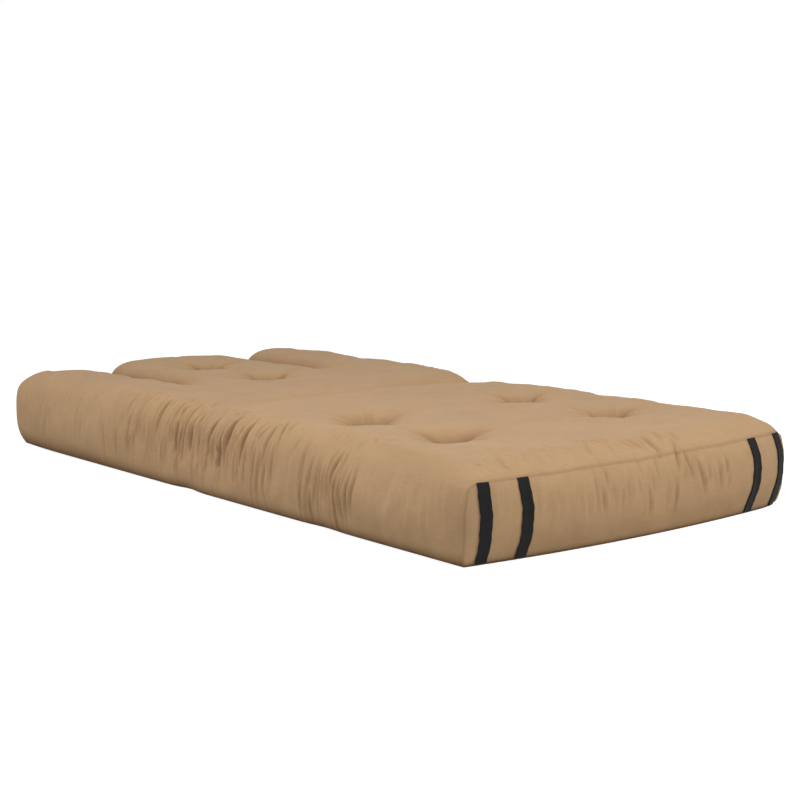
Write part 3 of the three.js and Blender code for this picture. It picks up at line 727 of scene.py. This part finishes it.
# %% [markdown]
# ## Tan cotton
# The casing is a matt, warm tan cotton in plain weave. An image would tile and blur, so the weave is made
# from two sets of even ridges along the unrolled cloth. Noise drawn out along the threads gives the slubs,
# and broad noise makes one stretch of cloth a little paler than the next.

# %% Casing material
def node_material(name, looks):
    """A new material, its node tree and its shader, whose inputs are set by name."""
    material = bpy.data.materials.new(name)
    material.use_nodes = True
    shader = material.node_tree.nodes["Principled BSDF"]
    for key, value in looks.items():
        shader.inputs[key].default_value = value
    return material, material.node_tree, shader


def add(tree, kind, **settings):
    """A new node. A setting is a value or link for the input of its name, or else the node's own."""
    node = tree.nodes.new("ShaderNode" + kind)
    for key, value in settings.items():
        if key not in node.inputs:
            setattr(node, key, value)
        elif isinstance(value, bpy.types.NodeSocket):
            tree.links.new(value, node.inputs[key])
        else:
            node.inputs[key].default_value = value
    return node


matt = {"Roughness": 0.92, "Specular IOR Level": 0.15, "Sheen Weight": 0.06, "Sheen Roughness": 0.4}
cotton, tree, shader = node_material("tan_cotton", matt)
unrolled = add(tree, "UVMap", uv_map="weave").outputs[0]
print("new:", cotton.name)

# %% Threads
THREAD = 0.0011  # from one thread to the next


def bands(tree, vector, direction, period):
    """Even ridges across one direction, a period apart."""
    scale = 2 * math.pi / (20 * period)
    wave = add(tree, "TexWave", bands_direction=direction, Scale=scale, Vector=vector)
    return wave.outputs["Fac"]


def streaks(tree, vector, stretch, scale, seed):
    """Noise drawn out along the threads, like slubs in the yarn."""
    drawn = add(tree, "Mapping", Scale=stretch, Location=(seed, seed, 0), Vector=vector)
    noise = add(tree, "TexNoise", Scale=scale, Detail=3.0, Roughness=0.6, Vector=drawn.outputs[0])
    return noise.outputs["Fac"]


def combined(tree, operation, first, second):
    """A sum, product or the like of two values or sockets."""
    node = add(tree, "Math", operation=operation)
    for socket, value in zip(node.inputs, (first, second)):
        if isinstance(value, float):
            socket.default_value = value
        else:
            tree.links.new(value, socket)
    return node.outputs[0]


warp, weft = bands(tree, unrolled, "X", THREAD), bands(tree, unrolled, "Y", THREAD)
long_slubs = streaks(tree, unrolled, (0.06, 1, 1), 420, 3.1)
slubs = combined(tree, "ADD", long_slubs, streaks(tree, unrolled, (1, 0.06, 1), 420, 7.7))
patches = streaks(tree, unrolled, (1, 1, 1), 7, 1.3)
print("threads:", round(1 / THREAD / 100, 1), "to the centimetre")

# %% Cotton colour
def two_tone(tree, value, first, second, span=(0.0, 1.0)):
    """A ramp from one colour to another over a span of the value."""
    ramp = add(tree, "ValToRGB", Fac=value)
    for stop, place, colour in zip(ramp.color_ramp.elements, span, (first, second)):
        stop.position, stop.color = place, (*colour, 1)
    return ramp


def mapped(tree, value, low, high, at_low, at_high):
    """A value from low to high, mapped to another range."""
    limits = {"From Min": low, "From Max": high, "To Min": at_low, "To Max": at_high}
    return add(tree, "MapRange", Value=value, **limits).outputs["Result"]


def multiplied(tree, factor, colour, by):
    """A colour multiplied by another, as far as the factor says."""
    mix = {"data_type": "RGBA", "blend_type": "MULTIPLY", "Factor": factor, "A": colour, "B": by}
    return add(tree, "Mix", **mix).outputs["Result"]


shade = combined(tree, "MULTIPLY", slubs, 0.34)
shade = combined(tree, "ADD", shade, combined(tree, "MULTIPLY", patches, 0.32))
tan = two_tone(tree, shade, (0.44, 0.276, 0.146), (0.55, 0.359, 0.199), (0.3, 0.7))
# painted shade: the tan is multiplied darker as far as the attribute says, to near black at the walls' foot
painted_shade_in = add(tree, "Attribute", attribute_name="painted_shade").outputs["Fac"]
darkness = two_tone(tree, painted_shade_in, (1, 1, 1), (0.14, 0.1, 0.07))
darkness.color_ramp.elements.new(0.5).color = (0.4, 0.32, 0.25, 1)
colour = multiplied(tree, 1.0, tan.outputs["Color"], darkness.outputs["Color"])
seam_off = add(tree, "Attribute", attribute_name="to_seam").outputs["Fac"]
groove = mapped(tree, seam_off, 0.0004, 0.003, 1.0, 0.0)
colour = multiplied(tree, groove, colour, (0.85, 0.82, 0.79, 1))
print("colour:", len(tree.nodes), "nodes so far")

# %% Cotton bump
def dressed(tree, shader, colour, height, strength, distance):
    """Gives the shader its colour, and a bump from a height."""
    tree.links.new(colour, shader.inputs["Base Color"])
    bump = add(tree, "Bump", Height=height, Strength=strength, Distance=distance)
    tree.links.new(bump.outputs["Normal"], shader.inputs["Normal"])


threads = combined(tree, "MAXIMUM", warp, weft)
relief = combined(tree, "ADD", combined(tree, "MULTIPLY", threads, 0.2), slubs)
relief = combined(tree, "SUBTRACT", relief, combined(tree, "MULTIPLY", groove, 0.9))
dressed(tree, shader, colour, relief, 0.5, 0.0006)
print("cotton:", len(tree.nodes), "nodes")

# %% [markdown]
# ## Part the casing at its bends
# The real sack is one piece. Here each length that bends over a fold has to be a piece of its own, with flat
# inner walls across the cuts. Parted after shaping, the lengths meet without a visible line.

# %% Close a cut
def bulkheads(part):
    """Closes a cut length with a flat inner wall along each plane of the cut."""
    plan = part.verts.layers.float_vector["plan"]
    rim = [e for e in part.edges if e.is_boundary]

    def rim_along(axis, place):
        return [e for e in rim if all(abs(v[plan][axis] - place) < TINY for v in e.verts)]

    loops = [rim_along(0, SEAT_CUT), rim_along(0, BACK_CUT)]
    for y in (-SLOT, SLOT):
        at_y = [v for v in part.verts if v.is_boundary and abs(v[plan].y - y) < TINY]
        corner = [v for v in at_y if abs(v[plan].x - BACK_CUT) < TINY]
        ends = [v for v in corner if v[plan].z < TINY] + [v for v in corner if v[plan].z > 1 - TINY]
        if len(ends) == 2 and rim_along(1, y):
            post = part.edges.new(ends)
            loops[1].append(post)
            loops.append([post] + rim_along(1, y))
    before = len(part.faces)
    for loop in filter(None, loops):
        for f in bmesh.ops.contextual_create(part, geom=loop)["faces"]:
            f.smooth = False
    for e in rim:
        e.smooth = False
    return [len(part.faces) - before, sum(e.is_boundary or e.is_wire for e in part.edges)]


# %% Part the casing
pieces = {}
for number, name in enumerate(["front", "middle", "left_flap", "middle_flap", "right_flap"]):
    part = bmesh.new()
    part.from_mesh(casing_mesh)
    others = [f for f in part.faces if f.material_index != number]
    bmesh.ops.delete(part, geom=others, context="FACES")
    for f in part.faces:
        f.material_index = 0
    caps = bulkheads(part)
    mesh = finished_mesh(name + "_casing", part)
    mesh.materials.append(cotton)
    pieces[name] = new_object(name + "_casing", mesh)
    print(name, len(mesh.polygons), "faces, bulkheads and open edges", caps)
bpy.data.objects.remove(casing)

# %% [markdown]
# ## Stand in for the solids
# A futon doesn't hinge like a door: its padding bends over a hand's breadth. Each casing piece stands for
# the plain solids inside it, which are hidden, and its placement is applied to its points.

# %% Stand in for the solids
LAYERS = ["top_panel", "upper_felt", "foam_core", "lower_felt", "bottom_panel"]
STAND_FOR = {
    "front": [f"front_{n}" for n in LAYERS + ["left_wall", "right_wall"]] + ["strap_end_wall"],
    "middle": [f"{s}_{n}" for s in ("seat", "back") for n in LAYERS + ["left_wall", "right_wall"]],
}
for flap in ("left_flap", "middle_flap", "right_flap"):
    STAND_FOR[flap] = [f"{flap}_{n}" for n in LAYERS + ["wall"]]
for name, obj in pieces.items():
    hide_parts(*STAND_FOR[name])
    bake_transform(obj)

# %% [markdown]
# ## Webbing straps
# Four bands of black webbing are sewn into the seams above and below the strap end. Cloth simulation would
# crumple them, so each starts as a grid, is laid on the wall by a ray from every point, is drawn taut over
# the wall's hollows and gets its thickness last. Fine ribs are crossed by slanted picks.

# %% Webbing material
webbing, tree, shader = node_material("black_webbing", {"Roughness": 0.72, "Specular IOR Level": 0.2})
unrolled = add(tree, "UVMap", uv_map="weave").outputs[0]
ribs, picks = bands(tree, unrolled, "X", 0.0021), bands(tree, unrolled, "DIAGONAL", 0.0016)
relief = combined(tree, "ADD", ribs, combined(tree, "MULTIPLY", picks, 0.6))
fluff = streaks(tree, unrolled, (1, 0.2, 1), 260, 2.2)
worn = combined(tree, "MULTIPLY", relief, fluff)
black = two_tone(tree, worn, (0.003, 0.003, 0.003), (0.011, 0.01, 0.01))
dressed(tree, shader, black.outputs["Color"], relief, 0.6, 0.0005)
print("webbing:", len(tree.nodes), "nodes")

# %% Find the wall
STRAPS = {"left_outer": -0.408, "left_inner": -0.319, "right_inner": 0.319, "right_outer": 0.408}
STRAP_WIDE, STRAP_LONG, STRAP_THICK = 0.025, 0.165, 0.0016
STRAP_FOOT, TURNED_IN, DOWN = 0.005, 0.008, 0.001  # the last is the step of the search
ROUNDED = 13  # over how many points a bend of the webbing is rounded
LIFT = 0.0004  # how far the webbing stands off the cloth
front_cloth = BVHTree.FromObject(pieces["front"], bpy.context.evaluated_depsgraph_get())


def on_end_wall(y, z):
    """Where a ray from beyond the strap end meets its wall, and the wall's normal there."""
    return front_cloth.ray_cast(Vector((1.5, y, z)), Vector((-1, 0, 0)))[:2]


def highest(y):
    """The height at which the wall turns over into the top, where a strap is sewn in."""
    z, hit = SEAM + 2 * DOWN, None
    while hit is None or hit.x < STRAP_END - TURNED_IN:
        z -= DOWN
        hit = on_end_wall(y, z)[0]
    return z


def taut(heights, reaches):
    """The tightest line over a column of points, a little rounded, as webbing bridges hollows."""
    held = []
    for z, x in zip(heights, reaches):
        while len(held) > 1:
            (z0, x0), (z1, x1) = held[-2:]
            if (z1 - z0) * (x - x0) < (x1 - x0) * (z - z0):
                break
            held.pop()
        held.append((z, x))
    line = np.interp(heights, *np.array(held).T)
    padded = np.pad(line, ROUNDED // 2, mode="reflect", reflect_type="odd")
    return np.maximum(np.convolve(padded, np.ones(ROUNDED) / ROUNDED, "valid") + LIFT, reaches)


print("the wall turns over at", [round(highest(y), 3) for y in STRAPS.values()])

# %% Lay the straps
def laid_band(y, seed):
    """A slightly wavy band of webbing, laid on the wall and drawn taut."""
    phase = np.random.default_rng(seed).uniform(0, FULL_TURN, 4)
    top = min(highest(y - STRAP_WIDE / 2), highest(y), highest(y + STRAP_WIDE / 2))
    band = bmesh.new()
    uv = band.loops.layers.uv.new("weave")
    bmesh.ops.create_grid(band, x_segments=8, y_segments=56, size=0.5)
    for f in band.faces:
        f.smooth = True
        for loop in f.loops:
            loop[uv].uv = loop.vert.co.x * STRAP_WIDE, loop.vert.co.y * STRAP_LONG
    columns = {}
    for v in band.verts:
        across, up = v.co.x, v.co.y + 0.5
        wave = 0.0006 * math.sin(up * 17 + phase[0]) + 0.0004 * math.sin(up * 41 + phase[1])
        at = y + across * STRAP_WIDE + wave * 2 * abs(across) + 0.0012 * math.sin(up * 5 + phase[2])
        hit, normal = on_end_wall(at, STRAP_FOOT + (top - STRAP_FOOT) * up)
        edge = 0.0005 * (2 * abs(across)) ** 4 * (1 + math.sin(up * 33 + phase[3]))
        v.co = hit + Vector((LIFT + edge, 0, 0)) + normal * 0.0003
        columns.setdefault(round(across * 100), []).append(v)
    for column in columns.values():
        column.sort(key=lambda v: v.co.z)
        places = np.array([v.co for v in column])
        for v, x in zip(column, taut(places[:, 2], places[:, 0])):
            v.co.x = x
    bmesh.ops.recalc_face_normals(band, faces=band.faces[:])
    if sum(f.normal.x for f in band.faces) < 0:
        bmesh.ops.reverse_faces(band, faces=band.faces[:])
    return band


for seed, (name, y) in enumerate(STRAPS.items()):
    name = "strap_" + name
    mesh = finished_mesh(name + "_band", laid_band(y, seed))
    mesh.materials.append(webbing)
    obj = new_object(name + "_band", mesh)
    thick = obj.modifiers.new("thickness", "SOLIDIFY")
    thick.thickness, thick.offset = STRAP_THICK, 1
    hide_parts(name)
    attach(obj, "front")
print(len(STRAPS), "straps")

# %% [markdown]
# ## Tufting twine
# Each tuft is a stitch of waxed twine, tied through the whole thickness. A plain tube would look like wire,
# so two strands follow the same rounded loop as helices, twisted round one another.

# %% Twine material
twine, tree, shader = node_material("waxed_twine", {"Roughness": 0.6})
grain = add(tree, "TexCoord").outputs["Object"]
fibre = add(tree, "TexNoise", Scale=1400.0, Detail=3.0, Vector=grain).outputs["Fac"]
straw = two_tone(tree, fibre, (0.26, 0.17, 0.095), (0.46, 0.33, 0.2))
dressed(tree, shader, straw.outputs["Color"], fibre, 0.5, 0.0003)
print("twine:", len(tree.nodes), "nodes")

# %% Twist two strands
STRAND, TWIST, STEP = 0.001, 0.0075, 0.0009  # strand radius, length of one twist, and of a step along it
LEGS_APART, BEND = 0.016, 0.003  # across the loop, and radius of its corners


def rounded_loop(wide, low, high, radius):
    """Points an equal step apart round an upright loop, and how long it is."""
    corners = [(wide - radius, high - radius), (wide - radius, low + radius)]
    corners += [(radius - wide, low + radius), (radius - wide, high - radius)]
    ring = []
    for number, (across, up) in enumerate(corners):
        for step in range(7):
            angle = math.pi / 2 - (number + step / 6) * math.pi / 2
            ring.append((across + radius * math.cos(angle), up + radius * math.sin(angle)))
    ring = np.array(ring + ring[:1])
    lengths = np.concatenate([[0], np.cumsum(np.hypot(*np.diff(ring, axis=0).T))])
    places = np.linspace(0, lengths[-1], int(lengths[-1] / STEP), endpoint=False)
    across, up = (np.interp(places, lengths, ring[:, i]) for i in (0, 1))
    return places, lengths[-1], across, up


def twisted_twine(name, tx, ty, low, high):
    """Two strands that run round the tuft's loop between two heights."""
    places, length, across, up = rounded_loop(LEGS_APART / 2, low, high, BEND)
    turns = round(length / TWIST)
    tangent_x, tangent_z = np.gradient(across), np.gradient(up)
    size = np.hypot(tangent_x, tangent_z)
    curve = bpy.data.curves.new(name, "CURVE")
    curve.dimensions = "3D"
    curve.bevel_depth, curve.bevel_resolution = STRAND, 2
    for strand in (0, 1):
        phase = 2 * math.pi * turns * places / length + strand * math.pi
        x = tx + across - STRAND * np.cos(phase) * tangent_z / size
        z = up + STRAND * np.cos(phase) * tangent_x / size
        line = curve.splines.new("POLY")
        line.points.add(len(places) - 1)
        for point, *place in zip(line.points, x, ty + STRAND * np.sin(phase), z):
            point.co = (*place, 1)
        line.use_cyclic_u = True
    shape = new_object(name, curve)
    mesh = bpy.data.meshes.new_from_object(shape.evaluated_get(bpy.context.evaluated_depsgraph_get()))
    bpy.data.objects.remove(shape)
    mesh.materials.clear()
    mesh.materials.append(twine)
    return mesh


# %% Tie the stitches
CLOTH_OF = {"front": "front", "seat": "front", "back": "middle_flap", "middle": "middle_flap"}
HOLDS = {"front": "front", "seat": "seat", "back": "back", "middle": "middle_flap"}
ABOVE, BELOW = 0.0016, 0.0006  # how far the stitch stands out of the cloth
for name, (tx, ty) in TUFTS.items():
    section = name.split("_")[0]
    cloth = BVHTree.FromObject(pieces[CLOTH_OF[section]], bpy.context.evaluated_depsgraph_get())
    top = cloth.ray_cast(Vector((tx, ty, 0.3)), Vector((0, 0, -1)))[0].z
    bottom = cloth.ray_cast(Vector((tx, ty, -0.1)), Vector((0, 0, 1)))[0].z
    mesh = twisted_twine("twine_" + name, tx, ty, bottom - BELOW, top + ABOVE)
    obj = new_object("tuft_stitch_" + name, mesh)
    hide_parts("tuft_twine_" + name)
    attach(obj, HOLDS[section])
    low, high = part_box("tuft_twine_" + name)
    print(name, "stitch and its solid:", [round(z, 3) for z in (bottom, top, low[2], high[2])])

# %% [markdown]
# ## A plain studio
# The photograph shows the mattress cut out on white. A white sheet would throw too much light back, so the
# floor is a pale one that only the camera sees as white. A pale world and three soft lamps give the light.

# %% Floor
def seen_directly(tree):
    """1 where the camera looks, 0 for light on its way."""
    path = add(tree, "LightPath").outputs
    seen = combined(tree, "MAXIMUM", path["Is Camera Ray"], path["Is Glossy Ray"])
    return combined(tree, "MAXIMUM", seen, path["Is Transmission Ray"])


matt = {"Base Color": (0.52, 0.51, 0.49, 1), "Roughness": 1.0, "Specular IOR Level": 0.0}
floor_paint, tree, shader = node_material("pale_floor", matt | {"Emission Color": (1, 1, 1, 1)})
glow = combined(tree, "MULTIPLY", seen_directly(tree), 0.86)
tree.links.new(glow, shader.inputs["Emission Strength"])
sheet = bmesh.new()
bmesh.ops.create_grid(sheet, x_segments=1, y_segments=1, size=40)
floor = new_object("floor", finished_mesh("floor", sheet))
floor.data.materials.append(floor_paint)
print("floor:", [round(d) for d in floor.dimensions], "m")

# %% World
world = bpy.data.worlds.new("studio")
scene.world = world
world.use_nodes = True
tree = world.node_tree
background = tree.nodes["Background"]
background.inputs["Color"].default_value = (1, 1, 1, 1)
direction = add(tree, "TexCoord").outputs["Generated"]
height = add(tree, "SeparateXYZ", Vector=direction).outputs["Z"]
walls = mapped(tree, height, 0.1, 0.7, 0.84, 0.22)  # paler low down, like the walls of a room
strength = mapped(tree, seen_directly(tree), 0.0, 1.0, walls, 1.0)
tree.links.new(strength, background.inputs["Strength"])
print("world:", len(tree.nodes), "nodes")


# %% Lamps
def soft_lamp(name, place, aim, size, power):
    """A square soft lamp at a place, turned towards its aim."""
    lamp = bpy.data.lights.new(name, "AREA")
    lamp.shape, lamp.size, lamp.energy = "SQUARE", size, power
    obj = new_object(name, lamp)
    obj.location = place
    obj.rotation_euler = (Vector(aim) - Vector(place)).to_track_quat("-Z", "Y").to_euler()
    print(name, "lamp:", power, "W")


soft_lamp("overhead", (0.4, -1.3, 3.1), (0.6, 0, 0), 0.8, 50)
soft_lamp("end", (3.0, 0.6, 1.6), (0.6, 0, 0.1), 1.2, 29)
soft_lamp("front", (-1.8, -4.0, 1.2), (-0.6, 0, 0.1), 1.6, 18)
scene.view_settings.view_transform = "Standard"

# %% [markdown]
# ## The camera
# It stands low beyond the strap end's near corner. Its place and lens could be tried by eye, but they come
# from fitting the mattress's known corners to the photograph's, so that length, width and height all agree.

# %% Camera
PLACE, FOCAL, PICTURE = (3.8049, -2.6438, 0.8668), 1894, 800  # the last two in pixels
AZIMUTH, ELEVATION, TILT = (math.radians(a) for a in (53.876, 8.503, 1.433))
camera_data = bpy.data.cameras.new("camera")
camera_data.sensor_width, camera_data.clip_end = 36, 200
camera_data.lens = FOCAL / PICTURE * camera_data.sensor_width
camera = new_object("camera", camera_data)
flat = math.cos(ELEVATION)
back = Vector((math.sin(AZIMUTH) * flat, -math.cos(AZIMUTH) * flat, math.sin(ELEVATION)))
turn = back.to_track_quat("Z", "Y").to_matrix().to_4x4() @ Matrix.Rotation(-TILT, 4, "Z")
camera.matrix_world = Matrix.Translation(PLACE) @ turn
bpy.context.scene.camera = camera
print("camera at", PLACE, "lens", round(camera_data.lens, 1), "mm")
